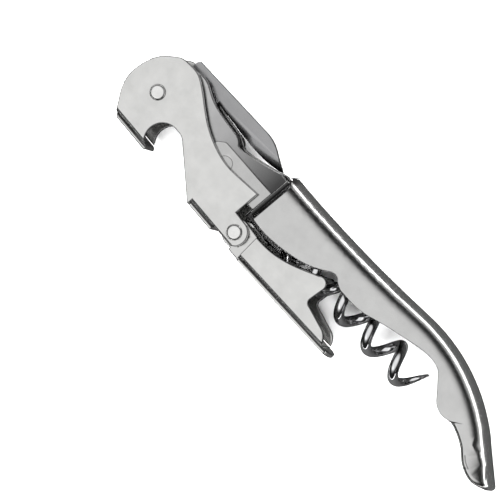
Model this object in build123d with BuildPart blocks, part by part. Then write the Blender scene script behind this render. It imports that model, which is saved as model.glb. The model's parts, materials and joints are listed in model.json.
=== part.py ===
from build123d import *
import os
from math import cos, degrees, hypot, pi, radians, sin, tan

# Double-hinged lever corkscrew, folded shut and lying on one cheek of its handle.
#
# Frame, in millimetres: +X runs from the round head to the tail, +Y towards the back of the handle, and +Z
# up, along every pivot. z = 0 is the outer face of the lower cheek, and the origin is under the middle.
# All side views are drawn around the head rivet: (0, 0) in them is its axis.

# ---------------------------------------------------------------- driving dimensions
HEAD_X, HEAD_Y = -52.768, 1.806  # head rivet's axis in the frame
WIDTH = 13.0  # handle, across its two cheeks
MID_Z = WIDTH / 2

SHELL_T = 1.1  # sheet of the handle
SHELL_R = 5.0  # outer radius between its back and its cheeks
CRIMP_R = 2.0  # radius of the cheeks' turned-in head end
FLAP_R = 1.0  # radius of the turned-in edge under the tail
BACK_START = (34.5, 7.95)
BACK_MIDDLE = (58.0, 7.0)
BACK_END = (76.0, 7.42)
BACK_START_FALL = radians(4.37)  # slopes of the back at its two ends
TAIL_FALL = radians(39.2)
HEAD_END_FOOT, HEAD_END_TOP = (33.0, -4.0), (34.05, 6.9)  # slanted end of the cheeks
END_WALL = (32.42, -10.0), (34.82, 14.9)  # the same line, run on past the handle
TAIL_BEND_END = (104.2, -1.4)
TAIL_TIP = (113.1, -8.66)
OPEN_BELLY_END = 102.3  # past it the belly is closed
SEAM = 0.3
RELIEF, RELIEF_R = (34.45, 7.0), 0.45  # notch between the cheeks' end and the back's end

LEVER_W = 11.4  # both levers, across their cheeks
LEVER_T = 1.1
LEVER_BEND_R = 1.6
LEVER_Z = MID_Z - LEVER_W / 2
HINGE = (33.9, -9.5)
FIRST_STEP = (31.1, -6.2)  # inner corner of the step that goes on the bottle's rim
UPPER_SPINE_END = 29.3
KNUCKLE_R = 3.2
KNUCKLE_W = 8.4  # across its two ears, between the upper lever's cheeks
KNUCKLE_SPINE_START = 35.2
TONGUE_END, TONGUE_R = 67.4, 4.5  # rounded end of the lower lever's spine
LOWER_INNER_END = -13.35

FRAME_W = 7.2  # across the outer faces of the two frame plates
FRAME_T = 1.5
FRAME_LOW = MID_Z - FRAME_W / 2
EAR_T = 0.7
EAR_RIVET = (21.5, -0.7)
EAR_RIVET_R, EAR_HEAD_R, EAR_SINK = 1.1, 1.7, 0.6
REAR_RIVET, REAR_RIVET_R = (48.5, 3.8), 0.9
REAR_SPACER_R = 1.5

KNIFE_T, EDGE_T = 1.6, 0.2
GRIND_Y = 8.05  # the bevel starts here and runs to the cutting edge
WORM_PIN = (37.5, -2.4)
WORM_TILT = -2.95  # degrees, the worm points a little towards the levers
WIRE_R = 1.2
COIL_R = 3.12  # radius of the wire's centre line
PITCH = 8.9
COIL_END = 48.05  # along the worm's axis, from its pin to the point
POINT_ANGLE = radians(352)  # where round the axis the point lies, 0 being towards the handle's back
SHANK, RUN_IN, TAPER = 3.0, 5.0, 5.0  # straight wire, widening to the full coil, and narrowing to the point
POINT_R = 0.12
RUN_IN_SECTIONS, TAPER_SECTIONS = 9, 8
EYE_R, EYE_H = 3.0, 2.6
SPRING_T, SPRING_W = 0.4, 3.4

PIN_R = 1.5  # shank of the head, hinge and worm rivets
HEAD_R, HEAD_H = 1.85, 0.6
RUNNING = 0.05  # radial clearance and side play of what turns
FIXED = 0.02  # the same where nothing turns

os.makedirs("parts", exist_ok=True)


# ---------------------------------------------------------------- helpers
def side(z):
    """Sketch plane parallel to the cheeks at height z, centred on the head rivet's axis."""
    return Plane(origin=(HEAD_X, HEAD_Y, z))


def cross(point):
    """Upright sketch plane through a side-view point: its x is +X, its y is +Z."""
    return Plane(origin=(HEAD_X + point[0], HEAD_Y + point[1], 0), x_dir=(1, 0, 0), z_dir=(0, -1, 0))


def upright(point):
    """Vertical axis through a side-view point."""
    return Axis((HEAD_X + point[0], HEAD_Y + point[1], 0), (0, 0, 1))


def near(edges, point, reach):
    """The edges whose middle is within reach of a side-view point."""
    x, y = HEAD_X + point[0], HEAD_Y + point[1]
    return edges.filter_by(lambda e: hypot(e.center().X - x, e.center().Y - y) < reach)


def rivet(point, shank_r, low, high, head_r=HEAD_R, head_h=HEAD_H):
    """Solid rivet with a low rounded head on each end of its grip, which runs from z = low to z = high."""
    with BuildPart() as made:
        with BuildSketch(cross(point)):
            with BuildLine():
                Line((0, low - head_h), (head_r * 0.5, low - head_h))
                ThreePointArc(
                    (head_r * 0.5, low - head_h), (head_r * 0.9, low - head_h * 0.62), (head_r, low)
                )
                Polyline((head_r, low), (shank_r, low), (shank_r, high), (head_r, high))
                ThreePointArc(
                    (head_r, high), (head_r * 0.9, high + head_h * 0.62), (head_r * 0.5, high + head_h)
                )
                Polyline((head_r * 0.5, high + head_h), (0, high + head_h), (0, low - head_h))
            make_face()
        revolve(axis=upright(point))
    return made.part


def ring(point, outer_r, inner_r, low, high):
    """Washer, bush or spacer tube between two heights."""
    with BuildPart() as made:
        with BuildSketch(side(low)):
            with Locations(point):
                Circle(outer_r)
                Circle(inner_r, mode=Mode.SUBTRACT)
        extrude(amount=high - low)
    return made.part


def save(piece, name):
    """Labels a finished piece and writes it as its own file."""
    piece.label = name
    export_step(piece, f"parts/{name}.step")


# ---------------------------------------------------------------- handle
# Line of the back, run on a little past both of its ends.
RUN_ON = 4.0
back_start = (BACK_START[0] - RUN_ON, BACK_START[1] + RUN_ON * tan(BACK_START_FALL))
with BuildLine(side(0)) as back_line:
    Line(back_start, BACK_START)
    run = ThreePointArc(BACK_START, BACK_MIDDLE, BACK_END)
    TangentArc(BACK_END, TAIL_BEND_END, tangent=run % 1)
    Line(TAIL_BEND_END, (TAIL_TIP[0] + RUN_ON, TAIL_TIP[1] - RUN_ON * tan(TAIL_FALL)))

back_start_plane = Plane(
    origin=(HEAD_X + back_start[0], HEAD_Y + back_start[1], MID_Z),
    x_dir=(0, 0, 1),
    z_dir=(cos(BACK_START_FALL), -sin(BACK_START_FALL), 0),
)
SECTION_DEPTH = 24.0


def back_section(inset):
    """Bar that follows the line of the back with rounded shoulders, inset all round by so much."""
    with BuildPart() as made:
        with BuildSketch(back_start_plane) as section:
            with Locations((0, inset)):
                Rectangle(WIDTH - 2 * inset, SECTION_DEPTH, align=(Align.CENTER, Align.MIN))
            fillet(section.vertices().group_by(Axis.Y)[0], SHELL_R - inset)
        sweep(path=back_line.line)
    return made.part


def rounded_corners(start, end, half_width, radius, inset=0.0):
    """The two corners that rounding takes off along an edge wall, which runs from start to end in side view.

    The material is on the right of that line, half_width to each side of the middle plane.
    """
    along = Vector(end[0] - start[0], end[1] - start[1], 0)
    wall = Plane(
        origin=(HEAD_X + start[0], HEAD_Y + start[1], MID_Z), x_dir=(0, 0, 1), z_dir=along.normalized()
    )
    corner, bend = half_width - inset, radius - inset
    with BuildPart() as made:
        with BuildSketch(wall):
            with BuildLine():
                Polyline((corner - bend, inset), (corner - bend, inset - 1), (corner + 1, inset - 1),
                         (corner + 1, inset + bend), (corner, inset + bend))
                RadiusArc((corner, inset + bend), (corner - bend, inset), -bend)
            make_face()
            mirror(about=Plane.YZ)
        extrude(amount=along.length)
    return made.part


def handle_cavity():
    """Inside of the handle: open under the worm, closed at the head end and under the tail."""
    with BuildPart() as made:
        with BuildSketch(side(SHELL_T)):
            with BuildLine():
                Polyline((OPEN_BELLY_END, -5.8), (OPEN_BELLY_END, -12.0), (33.35, -12.0), (35.65, 12.0))
                Polyline((35.65, 12.0), (111.8, 12.0), (111.8, -9.2))
                Spline((111.8, -9.2), (109.2, -9.75), (106.4, -9.0), (OPEN_BELLY_END, -5.8))
            make_face()
        extrude(amount=WIDTH - 2 * SHELL_T)
        add(back_section(SHELL_T), mode=Mode.INTERSECT)
        add(rounded_corners(*END_WALL, WIDTH / 2, CRIMP_R, inset=SHELL_T), mode=Mode.SUBTRACT)
    return made.part


ear_low, ear_high = FRAME_LOW - FIXED - EAR_T, FRAME_LOW + FRAME_W + FIXED + EAR_T  # their outer faces


def flush_rivet_outline(clearance):
    """Half section of the ears' rivet, whose flat heads are let into them, or of the hole for it."""
    head, shank = EAR_HEAD_R + clearance, EAR_RIVET_R + clearance
    return (
        (0, ear_low),
        (head, ear_low),
        (shank, ear_low + EAR_SINK),
        (shank, ear_high - EAR_SINK),
        (head, ear_high),
        (0, ear_high),
    )


with BuildPart() as handle_shell:
    # outside: side view, rounded back, turned-in head end, turned-in edge under the tail
    with BuildSketch(side(0)):
        with BuildLine():
            run = ThreePointArc(BACK_START, BACK_MIDDLE, BACK_END)
            TangentArc(BACK_END, TAIL_BEND_END, tangent=run % 1)
            Line(TAIL_BEND_END, TAIL_TIP)
            ThreePointArc(TAIL_TIP, (112.9, -9.6), (112.0, -10.2))
            Spline(
                (112.0, -10.2),
                (109.2, -10.8),
                (106.2, -10.0),
                (102.6, -7.3),
                tangents=((-1, -0.25), (-0.72, 0.69)),
            )
            Spline((102.6, -7.3), (99.2, -5.45), (96.5, -4.8), tangents=((-0.78, 0.63), (-1, 0)))
            ThreePointArc((96.5, -4.8), (93.3, -4.8), (91.7, -3.8))
            Line((91.7, -3.8), (87.8, 0.65))
            Spline(
                (87.8, 0.65),
                (84.3, 1.95),
                (78.1, 1.15),
                (70.0, -0.75),
                (64.2, -1.95),
                (60.2, -1.8),
                (58.1, -1.1),
                tangents=((-0.65, 0.76), (-0.9, 0.4)),
            )
            ThreePointArc((58.1, -1.1), (56.2, -0.15), (54.9, -0.75))
            Spline(
                (54.9, -0.75),
                (51.5, -2.6),
                (46.0, -4.2),
                (40.5, -4.85),
                HEAD_END_FOOT,
                tangents=((-0.86, -0.5), (-1, 0.25)),
            )
            Polyline(HEAD_END_FOOT, HEAD_END_TOP, BACK_START)
        make_face()
    extrude(amount=WIDTH)
    add(back_section(0), mode=Mode.INTERSECT)
    fillet(near(handle_shell.edges(), (107.5, -10.0), 2.5), FLAP_R)
    add(rounded_corners(*END_WALL, WIDTH / 2, CRIMP_R), mode=Mode.SUBTRACT)
    add(handle_cavity(), mode=Mode.SUBTRACT)
    # window in the head end for the frame plates, and the relief beside the back's end
    with BuildSketch(side(FRAME_LOW - FIXED)):
        with BuildLine():
            Polyline((31.0, -8.0), (36.0, -8.0), (36.0, 6.7), (31.0, 6.7), close=True)
        make_face()
    extrude(amount=FRAME_W + 2 * FIXED, mode=Mode.SUBTRACT)
    with BuildSketch(side(0)):
        with Locations(RELIEF):
            Circle(RELIEF_R)
    extrude(amount=WIDTH, mode=Mode.SUBTRACT)
    # seam where the two edges under the tail meet
    with BuildSketch(side(MID_Z - SEAM / 2)):
        with BuildLine():
            Polyline(
                (101.0, -12.0),
                (113.0, -12.0),
                (113.0, -9.9),
                (109.0, -9.3),
                (105.5, -7.3),
                (101.0, -3.5),
                close=True,
            )
        make_face()
    extrude(amount=SEAM, mode=Mode.SUBTRACT)
    # ears that lie on the frame plates and reach under the upper lever
    for low in (ear_low, ear_high - EAR_T):
        with BuildSketch(side(low)) as ear:
            with BuildLine():
                Line((34.4, -3.3), (34.4, 2.0))
                Polyline((34.4, 2.0), (18.4, 2.9), (16.6, 1.6), (16.6, -2.6), (18.0, -3.3), (34.4, -3.3))
            make_face()
            fillet(ear.vertices().filter_by_position(Axis.X, 16.5, 18.5), 0.8)
        extrude(amount=EAR_T)
    with BuildSketch(cross(EAR_RIVET)):
        with BuildLine():
            Polyline(*flush_rivet_outline(FIXED), close=True)
        make_face()
    revolve(axis=upright(EAR_RIVET), mode=Mode.SUBTRACT)
save(handle_shell.part, "handle_shell")


# ---------------------------------------------------------------- frame inside the handle
def frame_plate(low):
    """Arm from the head rivet into the handle, cut round where the worm swings and long above it."""
    worm_x, worm_y = WORM_PIN
    with BuildPart() as made:
        with BuildSketch(side(low)):
            with BuildLine():
                Spline(
                    (0.6, 8.3),
                    (5.1, 9.3),
                    (9.6, 7.3),
                    (19.6, 5.25),
                    (32.1, 6.6),
                    tangents=((1, 0.35), (1, 0.3)),
                )
                Polyline((32.1, 6.6), (36.0, 5.9), (40.0, 5.4), (53.0, 5.0), (53.0, 2.4), (41.0, 2.4))
                Line((41.0, 2.4), (41.0, worm_y))
                ThreePointArc((41.0, worm_y), (40.79, worm_y - 1.2), (40.3, -4.5))
                Polyline((40.3, -4.5), (33.0, -3.6), (20.0, -3.4), (12.0, -2.3), (6.5, -2.3), (1.5, -6.3))
                ThreePointArc((1.5, -6.3), (-5.6, -3.2), (-4.6, 4.6))
                ThreePointArc((-4.6, 4.6), (-2.6, 6.9), (0.6, 8.3))
            make_face()
            with Locations((0, 0), WORM_PIN):
                Circle(PIN_R + FIXED, mode=Mode.SUBTRACT)
            with Locations(EAR_RIVET):
                Circle(EAR_RIVET_R + FIXED, mode=Mode.SUBTRACT)
            with Locations(REAR_RIVET):
                Circle(REAR_RIVET_R + FIXED, mode=Mode.SUBTRACT)
        extrude(amount=FRAME_T)
    return made.part


INNER_LOW, INNER_HIGH = FRAME_LOW + FRAME_T, FRAME_LOW + FRAME_W - FRAME_T  # between the plates
save(frame_plate(INNER_HIGH), "frame_plate_near")
save(frame_plate(FRAME_LOW), "frame_plate_far")
save(ring(EAR_RIVET, 2.2, EAR_RIVET_R + FIXED, INNER_LOW, INNER_HIGH), "front_spacer")
save(ring(REAR_RIVET, REAR_SPACER_R, REAR_RIVET_R + FIXED, INNER_LOW, INNER_HIGH), "rear_spacer")

with BuildPart() as rear_rivet:
    with BuildSketch(side(FRAME_LOW)):
        with Locations(REAR_RIVET):
            Circle(REAR_RIVET_R)
    extrude(amount=FRAME_W)
save(rear_rivet.part, "rear_rivet")

with BuildPart() as ear_rivet:
    with BuildSketch(cross(EAR_RIVET)):
        with BuildLine():
            Polyline(*flush_rivet_outline(0), close=True)
        make_face()
    revolve(axis=upright(EAR_RIVET))
save(ear_rivet.part, "ear_rivet")

# ---------------------------------------------------------------- head pivot
LEVER_IN_LOW, LEVER_IN_HIGH = LEVER_Z + LEVER_T, LEVER_Z + LEVER_W - LEVER_T  # between the levers' cheeks
save(rivet((0, 0), PIN_R, LEVER_Z - RUNNING, LEVER_Z + LEVER_W + RUNNING), "head_rivet")
save(ring((0, 0), 4.0, PIN_R + FIXED, FRAME_LOW + FRAME_W, LEVER_IN_HIGH - RUNNING), "lever_washer_near")
save(ring((0, 0), 4.0, PIN_R + FIXED, LEVER_IN_LOW + RUNNING, FRAME_LOW), "lever_washer_far")
save(ring((0, 0), 3.6, PIN_R + FIXED, MID_Z + KNIFE_T / 2 + RUNNING, INNER_HIGH), "knife_washer_near")
save(ring((0, 0), 3.6, PIN_R + FIXED, INNER_LOW, MID_Z - KNIFE_T / 2 - RUNNING), "knife_washer_far")

# ---------------------------------------------------------------- knife
with BuildPart() as knife_blade:
    with BuildSketch(side(MID_Z - KNIFE_T / 2)):
        with BuildLine():
            Line((0.5, 10.1), (1.0, 10.9))
            Line((1.0, 10.9), (22.5, 10.35))
            Spline((22.5, 10.35), (26.0, 9.6), (28.5, 8.2), (31.5, 6.6), tangents=((1, -0.03), (0.87, -0.5)))
            Spline((31.5, 6.6), (26.5, 5.7), (19.6, 6.05), (11.2, 7.1), tangents=((-0.95, -0.3), (-1, 0.12)))
            ThreePointArc((11.2, 7.1), (6.0, 4.6), (4.3, 0.0))
            ThreePointArc((4.3, 0.0), (-2.2, -3.7), (-3.4, 2.6))
            ThreePointArc((-3.4, 2.6), (-0.6, 5.6), (0.5, 10.1))
        make_face()
        with Locations((0, 0)):
            Circle(PIN_R + RUNNING, mode=Mode.SUBTRACT)
    extrude(amount=KNIFE_T)
    # flat grinds from the grind line down to a thin edge, one on each side
    with BuildSketch(Plane(origin=(HEAD_X + 10.2, HEAD_Y, MID_Z), x_dir=(0, 1, 0), z_dir=(1, 0, 0))):
        with BuildLine():
            foot = (5.8, EDGE_T / 2)
            Polyline((GRIND_Y, KNIFE_T / 2), (GRIND_Y, 2), (3.0, 2), (3.0, EDGE_T / 2), foot, close=True)
        make_face()
        mirror(about=Plane.XZ)
    extrude(amount=26, mode=Mode.SUBTRACT)
save(knife_blade.part, "knife_blade")

# ---------------------------------------------------------------- upper lever
HOOK_FALL, SPINE_FALL = 0.078, 0.07  # slopes of the two spines, along X


def hook_bottom(x):
    return -10.75 - HOOK_FALL * x


def spine_bottom(x):
    return -12.6 - SPINE_FALL * (x - 22.0)


with BuildPart() as upper_lever:
    with BuildSketch(side(LEVER_Z)):
        with BuildLine():
            # hook of the cap lifter, its spine and the round head
            ThreePointArc((9.2, -2.9), (4.3, -7.4), (6.3, -10.45))
            ThreePointArc((6.3, -10.45), (6.4, -10.85), (5.9, hook_bottom(5.9)))
            Line((5.9, hook_bottom(5.9)), (-3.2, hook_bottom(-3.2)))
            Line((-3.2, hook_bottom(-3.2)), (-4.2, -8.9))
            Spline(
                (-4.2, -8.9),
                (-6.35, -5.4),
                (-7.5, -1.2),
                (-6.95, 2.4),
                (-5.3, 5.9),
                (-2.4, 8.5),
                (2.0, 9.3),
                tangents=((-0.5, 0.86), (1, 0)),
            )
            # neck and shoulder down to the first step
            Spline(
                (2.0, 9.3),
                (5.4, 8.2),
                (13.9, 2.35),
                (20.0, 0.0),
                (31.65, -0.05),
                tangents=((1, 0), (1, 0.05)),
            )
            Polyline((31.65, -0.05), FIRST_STEP, (34.6, -6.6))
            # round end over the hinge, then the spine and the straight flank back to the hook
            ThreePointArc((34.6, -6.6), (36.9, -9.3), (35.0, -12.3))
            Line((35.0, -12.3), (34.3, spine_bottom(34.3)))
            Line((34.3, spine_bottom(34.3)), (22.0, spine_bottom(22.0)))
            Line((22.0, spine_bottom(22.0)), (11.4, -3.6))
            ThreePointArc((11.4, -3.6), (10.4, -3.05), (9.2, -2.9))
        make_face()
        with Locations((0, 0)):
            Circle(PIN_R + RUNNING, mode=Mode.SUBTRACT)
        with Locations(HINGE):
            Circle(PIN_R + FIXED, mode=Mode.SUBTRACT)
    extrude(amount=LEVER_W)
    for line, ends in ((hook_bottom, (8.0, -4.0)), (spine_bottom, (37.0, 22.0))):
        bend = [(x, line(x)) for x in ends]
        add(rounded_corners(*bend, LEVER_W / 2, LEVER_BEND_R), mode=Mode.SUBTRACT)
    # channel between the cheeks; past its end the spine is cut away, to let the knuckle turn
    with BuildSketch(side(LEVER_IN_LOW)):
        with BuildLine():
            Polyline(
                (-12.0, 15.0),
                (-12.0, hook_bottom(-12.0) + LEVER_T),
                (12.0, hook_bottom(12.0) + LEVER_T),
                (12.0, spine_bottom(12.0) + LEVER_T),
                (UPPER_SPINE_END, spine_bottom(UPPER_SPINE_END) + LEVER_T),
                (UPPER_SPINE_END, -20.0),
                (45.0, -20.0),
                (45.0, 15.0),
                close=True,
            )
        make_face()
    extrude(amount=LEVER_W - 2 * LEVER_T, mode=Mode.SUBTRACT)
save(upper_lever.part, "upper_lever")

# ---------------------------------------------------------------- hinge
knuckle_low, knuckle_high = MID_Z - KNUCKLE_W / 2, MID_Z + KNUCKLE_W / 2
save(rivet(HINGE, PIN_R, LEVER_Z, LEVER_Z + LEVER_W), "hinge_rivet")
save(ring(HINGE, 2.6, PIN_R + FIXED, knuckle_high + RUNNING, LEVER_IN_HIGH), "hinge_washer_near")
save(ring(HINGE, 2.6, PIN_R + FIXED, LEVER_IN_LOW, knuckle_low - RUNNING), "hinge_washer_far")

# ---------------------------------------------------------------- lower lever
LOWER_START = 38.2
LOWER_FALL = 0.0295


def lower_bottom(x):
    return -13.65 - LOWER_FALL * (x - LOWER_START)


with BuildPart() as lower_lever:
    with BuildSketch(side(LEVER_Z)):
        with BuildLine():
            # edge beside the handle, the lobe, the second step and its claw
            Spline(
                (LOWER_START, -6.85),
                (42.6, -6.8),
                (48.5, -5.35),
                (54.0, -3.0),
                tangents=((1, -0.05), (0.92, 0.38)),
            )
            ThreePointArc((54.0, -3.0), (56.0, -2.75), (56.7, -4.6))
            Line((56.7, -4.6), (56.15, -7.7))
            ThreePointArc((56.15, -7.7), (56.25, -8.6), (57.2, -9.2))
            Line((57.2, -9.2), (62.6, -10.7))
            ThreePointArc((62.6, -10.7), (64.2, -11.8), (65.0, LOWER_INNER_END))
            Line((65.0, LOWER_INNER_END), (TONGUE_END, lower_bottom(TONGUE_END) + LEVER_T))
            Line((TONGUE_END, lower_bottom(TONGUE_END) + LEVER_T), (TONGUE_END, lower_bottom(TONGUE_END)))
            Line((TONGUE_END, lower_bottom(TONGUE_END)), (LOWER_START, lower_bottom(LOWER_START)))
            Line((LOWER_START, lower_bottom(LOWER_START)), (LOWER_START, -6.85))
        make_face()
    extrude(amount=LEVER_W)
    tongue_corners = lower_lever.edges().filter_by(Axis.Y, tolerance=10).filter_by_position(
        Axis.X, HEAD_X + TONGUE_END - 0.1, HEAD_X + TONGUE_END + 0.1
    )
    fillet(tongue_corners, TONGUE_R)
    bend = [(x, lower_bottom(x)) for x in (TONGUE_END + 1, LOWER_START - 1)]
    add(rounded_corners(*bend, LEVER_W / 2, LEVER_BEND_R), mode=Mode.SUBTRACT)
    # channel between the cheeks, then the narrower space between the knuckle's ears
    with BuildSketch(side(LEVER_IN_LOW)):
        with BuildLine():
            Polyline(
                (LOWER_START + LEVER_T, 0.0),
                (LOWER_START + LEVER_T, lower_bottom(LOWER_START + LEVER_T) + LEVER_T),
                (75.0, lower_bottom(75.0) + LEVER_T),
                (75.0, 0.0),
                close=True,
            )
        make_face()
    extrude(amount=LEVER_W - 2 * LEVER_T, mode=Mode.SUBTRACT)
    with BuildSketch(side(knuckle_low + LEVER_T)):
        with BuildLine():
            Polyline(
                (LOWER_START - 1, 0.0),
                (LOWER_START - 1, lower_bottom(LOWER_START) + LEVER_T),
                (LOWER_START + 2, lower_bottom(LOWER_START) + LEVER_T),
                (LOWER_START + 2, 0.0),
                close=True,
            )
        make_face()
    extrude(amount=KNUCKLE_W - 2 * LEVER_T, mode=Mode.SUBTRACT)
    for low in (knuckle_low, knuckle_high - LEVER_T):
        with BuildSketch(side(low)):
            with Locations(HINGE):
                Circle(KNUCKLE_R)
            with BuildLine():
                Polyline(
                    (HINGE[0], HINGE[1] + KNUCKLE_R),
                    (LOWER_START + 0.1, -6.9),
                    (LOWER_START + 0.1, -12.6),
                    (HINGE[0], HINGE[1] - KNUCKLE_R),
                    close=True,
                )
            make_face()
            with Locations(HINGE):
                Circle(PIN_R + RUNNING, mode=Mode.SUBTRACT)
        extrude(amount=LEVER_T)
    with BuildSketch(side(knuckle_low)):
        with BuildLine():
            Polyline(
                (KNUCKLE_SPINE_START, -12.2),
                (LOWER_START + 0.1, -12.2),
                (LOWER_START + 0.1, -13.4),
                (KNUCKLE_SPINE_START, -13.2),
                close=True,
            )
        make_face()
    extrude(amount=KNUCKLE_W)
save(lower_lever.part, "lower_lever")

# ---------------------------------------------------------------- worm and what holds it
save(rivet(WORM_PIN, PIN_R, FRAME_LOW, FRAME_LOW + FRAME_W, 2.0, 0.5), "worm_pin")
save(ring(WORM_PIN, 2.6, PIN_R + FIXED, MID_Z + EYE_H / 2 + RUNNING, INNER_HIGH), "worm_bush_near")
save(ring(WORM_PIN, 2.6, PIN_R + FIXED, INNER_LOW, MID_Z - EYE_H / 2 - RUNNING), "worm_bush_far")

WIRE_START = EYE_R - 0.8  # the wire is welded a little into the eye
COIL_START = SHANK + RUN_IN
TAPER_START = COIL_END - TAPER


def wire_turn(along):
    """Angle round the worm's axis at a distance along it from the pin."""
    return 2 * pi * (along - COIL_END) / PITCH + POINT_ANGLE


def wire_centre(along):
    """Centre of the wire, with the worm's axis as Z: straight, then widening to a right-handed coil."""
    rise = min(1.0, max(0.0, (along - SHANK) / RUN_IN))
    radius = COIL_R * (1 - cos(pi * rise)) / 2
    return Vector(radius * cos(wire_turn(along)), radius * sin(wire_turn(along)), along)


def wire_slope(along):
    """Direction of the wire at a distance along the axis."""
    return wire_centre(along + 0.001) - wire_centre(along - 0.001)


def wire_points(start, end, steps):
    """Evenly spaced centres of the wire."""
    return [wire_centre(start + (end - start) * i / steps) for i in range(steps + 1)]


# The wire is drawn upright, with the pin's centre at the origin, and turned into place with its eye.
with BuildPart() as wire:
    with BuildLine():
        turns = Helix(pitch=PITCH, height=TAPER_START - COIL_START, radius=COIL_R, mode=Mode.PRIVATE)
        coil = turns.moved(Location((0, 0, COIL_START), (0, 0, degrees(wire_turn(COIL_START)))))
        run_in = Spline(
            *wire_points(WIRE_START, COIL_START, 9),
            tangents=(wire_slope(WIRE_START), coil % 0),
            mode=Mode.PRIVATE,
        )
        point = Spline(
            *wire_points(TAPER_START, COIL_END, 7),
            tangents=(coil % 1, wire_slope(COIL_END)),
            mode=Mode.PRIVATE,
        )
    with BuildSketch(Plane(origin=coil @ 0, z_dir=coil % 0)):
        Circle(WIRE_R)
    sweep(path=coil, is_frenet=True)
    for i in range(RUN_IN_SECTIONS + 1):
        share = i / RUN_IN_SECTIONS
        with BuildSketch(Plane(origin=run_in @ share, z_dir=run_in % share)):
            Circle(WIRE_R)
    loft()
    for i in range(TAPER_SECTIONS + 1):
        share = i / TAPER_SECTIONS
        with BuildSketch(Plane(origin=point @ share, z_dir=point % share)):
            Circle(WIRE_R + (POINT_R - WIRE_R) * share**1.5)
    loft()

tilt = radians(WORM_TILT)
worm_frame = Plane(
    origin=(HEAD_X + WORM_PIN[0], HEAD_Y + WORM_PIN[1], MID_Z),
    x_dir=(-sin(tilt), cos(tilt), 0),
    z_dir=(cos(tilt), sin(tilt), 0),
)
with BuildPart() as worm:
    add(wire.part.moved(worm_frame.location))
    with BuildSketch(side(MID_Z - EYE_H / 2)):
        with Locations(WORM_PIN):
            Circle(EYE_R)
    extrude(amount=EYE_H)
    with BuildSketch(side(MID_Z - EYE_H / 2)):
        with Locations(WORM_PIN):
            Circle(PIN_R + RUNNING)
    extrude(amount=EYE_H, mode=Mode.SUBTRACT)
save(worm.part, "worm")

with BuildPart() as worm_spring:
    rear_x, rear_y = REAR_RIVET
    wrap_r = REAR_SPACER_R + FIXED + SPRING_T / 2
    with BuildSketch(side(MID_Z - SPRING_W / 2)):
        with BuildLine():
            Spline(
                (34.6, 2.2),
                (37.5, 1.3),
                (42.0, 2.15),
                (rear_x, rear_y - wrap_r),
                tangents=((1, -0.5), (1, 0)),
            )
            ThreePointArc((rear_x, rear_y - wrap_r), (rear_x + wrap_r, rear_y), (rear_x, rear_y + wrap_r))
        trace(line_width=SPRING_T)
    extrude(amount=SPRING_W)
save(worm_spring.part, "worm_spring")
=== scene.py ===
import json
import math

import bmesh
import bpy
from mathutils import Matrix, Vector

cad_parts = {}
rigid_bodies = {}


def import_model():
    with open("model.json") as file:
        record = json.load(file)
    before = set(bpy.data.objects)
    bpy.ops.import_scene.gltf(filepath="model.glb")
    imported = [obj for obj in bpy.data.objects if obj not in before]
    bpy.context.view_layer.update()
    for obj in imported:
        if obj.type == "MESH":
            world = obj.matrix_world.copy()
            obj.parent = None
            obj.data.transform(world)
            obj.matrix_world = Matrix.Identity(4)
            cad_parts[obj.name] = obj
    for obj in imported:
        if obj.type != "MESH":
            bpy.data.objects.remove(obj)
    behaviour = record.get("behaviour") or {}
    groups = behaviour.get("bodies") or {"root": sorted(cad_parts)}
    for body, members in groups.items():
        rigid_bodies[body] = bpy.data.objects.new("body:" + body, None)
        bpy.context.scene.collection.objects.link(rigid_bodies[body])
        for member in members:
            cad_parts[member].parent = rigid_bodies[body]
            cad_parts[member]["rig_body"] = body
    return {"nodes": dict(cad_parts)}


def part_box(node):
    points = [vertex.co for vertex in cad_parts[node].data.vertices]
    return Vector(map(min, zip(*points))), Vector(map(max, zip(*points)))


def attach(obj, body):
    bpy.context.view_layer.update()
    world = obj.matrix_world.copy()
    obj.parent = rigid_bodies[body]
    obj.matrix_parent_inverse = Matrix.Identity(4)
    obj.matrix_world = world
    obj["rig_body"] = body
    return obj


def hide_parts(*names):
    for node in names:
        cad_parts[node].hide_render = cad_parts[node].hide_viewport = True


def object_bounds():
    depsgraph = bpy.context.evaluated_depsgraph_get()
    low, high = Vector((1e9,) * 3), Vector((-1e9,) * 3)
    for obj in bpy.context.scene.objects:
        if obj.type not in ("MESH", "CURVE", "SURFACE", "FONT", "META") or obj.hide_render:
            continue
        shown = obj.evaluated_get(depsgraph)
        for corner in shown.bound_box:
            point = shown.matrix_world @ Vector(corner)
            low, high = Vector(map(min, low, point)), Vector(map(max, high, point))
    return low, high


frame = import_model()
cad_low, cad_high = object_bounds()

# ---------------------------------------------------------------- sizes and places
MM = 0.001
FLAT, SHARP = 0.02, 25.0  # degrees between faces: what counts as one flat face, and as a sharp edge
WELD = 0.002 * MM
SHELL_BREAK, LEVER_BREAK, PLATE_BREAK, BLADE_BREAK = 0.14 * MM, 0.2 * MM, 0.22 * MM, 0.06 * MM

rivet_low, rivet_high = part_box("head_rivet")
HEAD = (rivet_low + rivet_high) / 2  # on the head rivet's axis
HEAD_SLANT = 0.096  # X over Y along the slanted head end of the handle's cheeks
HEAD_END_AT = HEAD.x - HEAD_SLANT * HEAD.y + 33.547 * MM  # just inside it, across the slant
HEAD_BAND = 2.2 * MM

FLOOR_R, FLOOR_Z, CARD_Z = 8.0, -0.2 * MM, -0.1 * MM
CARD_SIDE, CARD_NEAR, CARD_FAR = 0.1, 0.045, 0.3  # how far the card reaches past the object: X, +Y and -Y
LAMPS, LAMP_SIZE, LAMP_AWAY, LAMP_POWER = 7, 0.7, 1.1, 20.0


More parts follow.
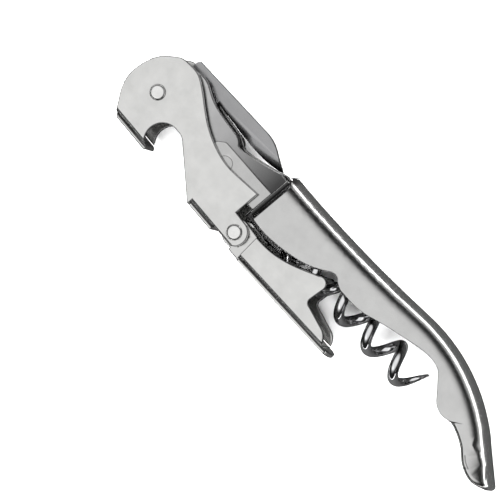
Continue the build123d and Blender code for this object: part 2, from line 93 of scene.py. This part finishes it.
# ---------------------------------------------------------------- materials
def ramp(tree, factor, stops):
    """Colour ramp node from (position, grey or colour) stops."""
    node = tree.nodes.new("ShaderNodeValToRGB")
    elements = node.color_ramp.elements
    while len(elements) < len(stops):
        elements.new(0.5)
    for element, (position, value) in zip(elements, stops):
        element.position = position
        element.color = (*value, 1) if hasattr(value, "__len__") else (value, value, value, 1)
    tree.links.new(factor, node.inputs["Fac"])
    return node.outputs["Color"]


def noise(tree, scale, detail=3.0, rough=0.5, stretch=(1, 1, 1)):
    """Noise in the object's own metres, with scale in cycles per metre."""
    place = tree.nodes.new("ShaderNodeTexCoord")
    mapping = tree.nodes.new("ShaderNodeMapping")
    mapping.inputs["Scale"].default_value = stretch
    texture = tree.nodes.new("ShaderNodeTexNoise")
    texture.inputs["Scale"].default_value = scale
    texture.inputs["Detail"].default_value = detail
    texture.inputs["Roughness"].default_value = rough
    tree.links.new(place.outputs["Object"], mapping.inputs["Vector"])
    tree.links.new(mapping.outputs["Vector"], texture.inputs["Vector"])
    return texture.outputs["Fac"]


def along(tree, direction, start, end):
    """0 to 1 between two distances along a direction, in the object's own metres."""
    place = tree.nodes.new("ShaderNodeTexCoord")
    dot = tree.nodes.new("ShaderNodeVectorMath")
    dot.operation = "DOT_PRODUCT"
    dot.inputs[1].default_value = direction
    tree.links.new(place.outputs["Object"], dot.inputs[0])
    span = tree.nodes.new("ShaderNodeMapRange")
    span.inputs["From Min"].default_value = start
    span.inputs["From Max"].default_value = end
    tree.links.new(dot.outputs["Value"], span.inputs["Value"])
    return span.outputs["Result"]


def product(tree, one, other):
    """Two colours or values multiplied."""
    node = tree.nodes.new("ShaderNodeVectorMath")
    node.operation = "MULTIPLY"
    tree.links.new(one, node.inputs[0])
    tree.links.new(other, node.inputs[1])
    return node.outputs["Vector"]


def total(tree, one, other):
    """Two colours or values added."""
    node = tree.nodes.new("ShaderNodeVectorMath")
    node.operation = "ADD"
    tree.links.new(one, node.inputs[0])
    tree.links.new(other, node.inputs[1])
    return node.outputs["Vector"]


def steel(name, color, roughness, mottle=0.05, grain=0.02, wave=0.0, brush=(0.12, 1, 1), painted_shade=None):
    """Metal with mottled colour, and with brush marks in its roughness and as bump. Waves are in metres.

    The last argument is (direction, start, end, ramp stops): painted shade, what its colour is multiplied
    by along a direction.
    """
    material = bpy.data.materials.new(name)
    material.use_nodes = True
    tree = material.node_tree
    shader = tree.nodes["Principled BSDF"]
    shader.inputs["Metallic"].default_value = 1.0
    clouds = noise(tree, 260, 4.0, 0.6)
    marks = noise(tree, 16000, 2.0, 0.6, brush)
    low = [c * (1 - mottle) for c in color]
    high = [min(1, c * (1 + mottle)) for c in color]
    tone = ramp(tree, clouds, [(0.3, low), (0.7, high)])
    # Painted shade: the colour is darkened along a direction where shade falls.
    if painted_shade:
        direction, start, end, stops = painted_shade
        tone = product(tree, tone, ramp(tree, along(tree, direction, start, end), stops))
    tree.links.new(tone, shader.inputs["Base Color"])
    tree.links.new(
        ramp(tree, marks, [(0.3, roughness * 0.75), (0.7, roughness * 1.3)]), shader.inputs["Roughness"]
    )
    fine = tree.nodes.new("ShaderNodeBump")
    fine.inputs["Strength"].default_value = 1.0
    fine.inputs["Distance"].default_value = grain * 5e-5
    tree.links.new(marks, fine.inputs["Height"])
    if wave:
        slow = tree.nodes.new("ShaderNodeBump")
        slow.inputs["Strength"].default_value = 1.0
        slow.inputs["Distance"].default_value = wave
        tree.links.new(noise(tree, 90, 1.0), slow.inputs["Height"])
        tree.links.new(slow.outputs["Normal"], fine.inputs["Normal"])
    tree.links.new(fine.outputs["Normal"], shader.inputs["Normal"])
    return material


# Painted shade: the handle's colour is darker in a band at its cheeks' turned-in head end, and the frame
# plates' colour darker towards the handle, standing in for the shade there.
HANDLE = steel(
    "handle satin steel",
    (0.53, 0.53, 0.525),
    0.17,
    wave=6e-6,
    # painted shade in a band along the cheeks' turned-in head end
    painted_shade=(
        (1, -HEAD_SLANT, 0),
        HEAD_END_AT,
        HEAD_END_AT + HEAD_BAND,
        [(0, 0.9), (0.02, 0.12), (0.6, 0.3), (1, 1)],
    ),
)
LEVER = steel(
    "lever satin steel", (0.62, 0.62, 0.61), 0.19, mottle=0.06, grain=0.05, wave=4e-6
)
PLATE = steel(
    "frame plate steel",
    (0.5, 0.5, 0.5),
    0.2,
    # painted shade: the plates darken towards the handle, where the handle shades them
    painted_shade=((1, 0, 0), HEAD.x + 4 * MM, HEAD.x + 33 * MM, [(0, 1), (0.45, 0.75), (0.85, 0.3), (1, 0.12)]),
)
BLADE = steel("ground blade steel", (0.32, 0.32, 0.325), 0.2, brush=(1, 0.12, 1))
CHROME = steel("chromed wire", (0.7, 0.7, 0.71), 0.05, mottle=0.03, grain=0.004)
RIVET = steel("peened rivet steel", (0.74, 0.74, 0.73), 0.14, mottle=0.08, brush=(1, 1, 1))
WASHER = steel("washer steel", (0.5, 0.5, 0.5), 0.25, brush=(1, 1, 1))
SPRING = steel("spring steel", (0.3, 0.3, 0.32), 0.22)
# Painted shade: the broken edges' faces are coloured dark to stand in for the dark outlines that shade and
# reflection draw along the sheets' edges.
EDGE_SHADE = steel("sheared sheet edge with painted shade", (0.26, 0.26, 0.26), 0.2, mottle=0.06, brush=(1, 1, 1))


# ---------------------------------------------------------------- pieces
def body_of(node):
    """Body that a CAD node belongs to."""
    return frame["nodes"][node]["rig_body"]


def stand_for(piece, node, materials):
    """The piece takes a CAD node's place, on its body and with its finish."""
    bpy.context.scene.collection.objects.link(piece)
    for material in materials:
        piece.data.materials.append(material)
    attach(piece, body_of(node))
    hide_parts(node)
    return piece


def joined(node):
    """A CAD node's mesh as a bmesh, with its seams closed and each flat face in one piece."""
    shape = bmesh.new()
    shape.from_mesh(frame["nodes"][node].data)
    bmesh.ops.remove_doubles(shape, verts=shape.verts, dist=WELD)
    bmesh.ops.dissolve_limit(
        shape,
        angle_limit=math.radians(FLAT),
        verts=shape.verts,
        edges=shape.edges,
        use_dissolve_boundaries=False,
    )
    return shape


def broken_edges(node, material, width, rounds=1):
    """Copy of a CAD node with its sharp edges broken: one flat chamfer, or several for a round."""
    shape = joined(node)
    limit = math.radians(SHARP)
    edges = [e for e in shape.edges if len(e.link_faces) == 2 and e.calc_face_angle() > limit]
    bmesh.ops.bevel(
        shape,
        geom=edges,
        offset=width,
        offset_type="OFFSET",
        segments=rounds,
        profile=0.5,
        affect="EDGES",
        clamp_overlap=False,
        # the edge faces take the second material, coloured dark as painted shade
        material=1,
    )
    bmesh.ops.triangulate(shape, faces=[f for f in shape.faces if len(f.verts) > 4])
    mesh = bpy.data.meshes.new(node + "_mesh")
    shape.to_mesh(mesh)
    shape.free()
    mesh.shade_smooth()
    mesh.set_sharp_from_angle(angle=limit)
    piece = stand_for(bpy.data.objects.new(node + "_piece", mesh), node, [material, EDGE_SHADE])
    normals = piece.modifiers.new("flat faces stay flat", "WEIGHTED_NORMAL")
    normals.keep_sharp = True
    normals.weight = 80
    return piece


broken_edges("handle_shell", HANDLE, SHELL_BREAK)
broken_edges("upper_lever", LEVER, LEVER_BREAK, 2)
broken_edges("lower_lever", LEVER, LEVER_BREAK, 2)
broken_edges("frame_plate_near", PLATE, PLATE_BREAK)
broken_edges("frame_plate_far", PLATE, PLATE_BREAK)
broken_edges("knife_blade", BLADE, BLADE_BREAK)

for node, material in {
    "front_spacer": PLATE,
    "rear_spacer": PLATE,
    "ear_rivet": HANDLE,
    "rear_rivet": RIVET,
    "head_rivet": RIVET,
    "hinge_rivet": RIVET,
    "worm_pin": RIVET,
    "lever_washer_near": WASHER,
    "lever_washer_far": WASHER,
    "knife_washer_near": WASHER,
    "knife_washer_far": WASHER,
    "hinge_washer_near": WASHER,
    "hinge_washer_far": WASHER,
    "worm_bush_near": WASHER,
    "worm_bush_far": WASHER,
    "worm": CHROME,
    "worm_spring": SPRING,
}.items():
    mesh = frame["nodes"][node].data
    mesh.materials.clear()
    mesh.materials.append(material)


# ---------------------------------------------------------------- floor, lights and camera
def disc(name, radius, height):
    """Flat disc facing up, under the object."""
    shape = bmesh.new()
    bmesh.ops.create_circle(shape, cap_ends=True, radius=radius, segments=64)
    mesh = bpy.data.meshes.new(name)
    shape.to_mesh(mesh)
    shape.free()
    piece = bpy.data.objects.new(name, mesh)
    piece.location.z = height
    bpy.context.scene.collection.objects.link(piece)
    return piece


def paper(name, color):
    """Matt paper with a little tooth."""
    material = bpy.data.materials.new(name)
    material.use_nodes = True
    tree = material.node_tree
    shader = tree.nodes["Principled BSDF"]
    tone = ramp(tree, noise(tree, 900), [(0.3, color * 0.98), (0.7, color)])
    tree.links.new(tone, shader.inputs["Base Color"])
    shader.inputs["Roughness"].default_value = 0.9
    shader.inputs["Specular IOR Level"].default_value = 0.0
    return material


def unseen(piece):
    """Leaves a piece in reflections only, so that the floor is seen and lit as if it weren't there."""
    piece.visible_camera = False
    piece.visible_shadow = False
    piece.visible_diffuse = False


floor = disc("floor", FLOOR_R, FLOOR_Z)
floor.data.materials.append(paper("white paper", 0.9))
half_x, half_y = (cad_high.x - cad_low.x) / 2, (cad_high.y - cad_low.y) / 2
# A dark card around the object, seen only in reflections: painted shade standing in for the shade the
# object casts on the floor around it.
card = disc("card", 1.0, CARD_Z)
card.scale = (half_x + CARD_SIDE, half_y + (CARD_NEAR + CARD_FAR) / 2, 1)
card.location.y = (CARD_NEAR - CARD_FAR) / 2
card.data.materials.append(paper("dark card standing in for floor shade", 0.05))
unseen(card)

for i in range(LAMPS):
    turn = 2 * math.pi * (i + 0.5) / LAMPS
    lamp = bpy.data.objects.new(f"lamp_{i}", bpy.data.lights.new(f"lamp_{i}", "AREA"))
    lamp.data.shape = "DISK"
    lamp.data.size = LAMP_SIZE
    lamp.data.energy = LAMP_POWER
    lamp.location = Vector((math.cos(turn), math.sin(turn), 1.0)) * LAMP_AWAY
    lamp.rotation_euler = lamp.location.to_track_quat("Z", "Y").to_euler()
    lamp.visible_glossy = False
    lamp.visible_camera = False
    bpy.context.scene.collection.objects.link(lamp)

world = bpy.data.worlds.new("studio")
bpy.context.scene.world = world
world.use_nodes = True
tree = world.node_tree
direction = tree.nodes.new("ShaderNodeTexCoord")
parts = tree.nodes.new("ShaderNodeSeparateXYZ")
tree.links.new(direction.outputs["Generated"], parts.inputs["Vector"])
across = tree.nodes.new("ShaderNodeMapRange")
across.inputs["From Min"].default_value = -1
tree.links.new(parts.outputs["Y"], across.inputs["Value"])
height, side = parts.outputs["Z"], across.outputs["Result"]  # side is 0 towards -Y and 1 towards +Y
# Brightness by the sine of the elevation: all round, low towards +Y only, and a softbox towards -Y only.
OVERHEAD = [(0.5, 0.02), (0.64, 0.25), (0.77, 0.8), (0.88, 1.05), (1.0, 1.1)]
BAND = [(0.12, 0.6), (0.3, 0.0)]
SOFTBOX = [(0.72, 0.0), (0.78, 0.6), (0.9, 0.6), (0.95, 0.0)]
light = ramp(tree, height, OVERHEAD)
band = product(tree, ramp(tree, height, BAND), ramp(tree, side, [(0.42, 0.0), (0.58, 1.0)]))
softbox = product(tree, ramp(tree, height, SOFTBOX), ramp(tree, side, [(0.2, 1.0), (0.36, 0.0)]))
light = total(tree, total(tree, light, band), softbox)
tree.links.new(light, tree.nodes["Background"].inputs["Color"])

bpy.context.scene.view_settings.view_transform = "Standard"

VIEW_SLOPE = Vector((0.192, 0.116, 1.0))
LENS, SENSOR = 500.0, 36.0
FRAME_SIDE = 0.10893  # what the picture spans at the head rivet's height
RIGHT_OF_RIVET, BELOW_RIVET = 0.02026, 0.03442  # from the head rivet to the middle of the picture

towards = VIEW_SLOPE.normalized()
lean = Vector((0, 0, 1)).rotation_difference(towards)
right = lean @ Vector((1, 1, 0)).normalized()
up = lean @ Vector((-1, 1, 0)).normalized()
rivet_top = Vector((HEAD.x, HEAD.y, rivet_high.z))
target = rivet_top + right * RIGHT_OF_RIVET - up * BELOW_RIVET
camera = bpy.data.objects.new("camera", bpy.data.cameras.new("camera"))
camera.data.lens = LENS
camera.data.sensor_width = SENSOR
camera.data.clip_start, camera.data.clip_end = 0.05, 20
axes = Matrix((right, up, towards)).transposed().to_4x4()
camera.matrix_world = Matrix.Translation(target + towards * (FRAME_SIDE * LENS / SENSOR)) @ axes
bpy.context.scene.collection.objects.link(camera)
bpy.context.scene.camera = camera
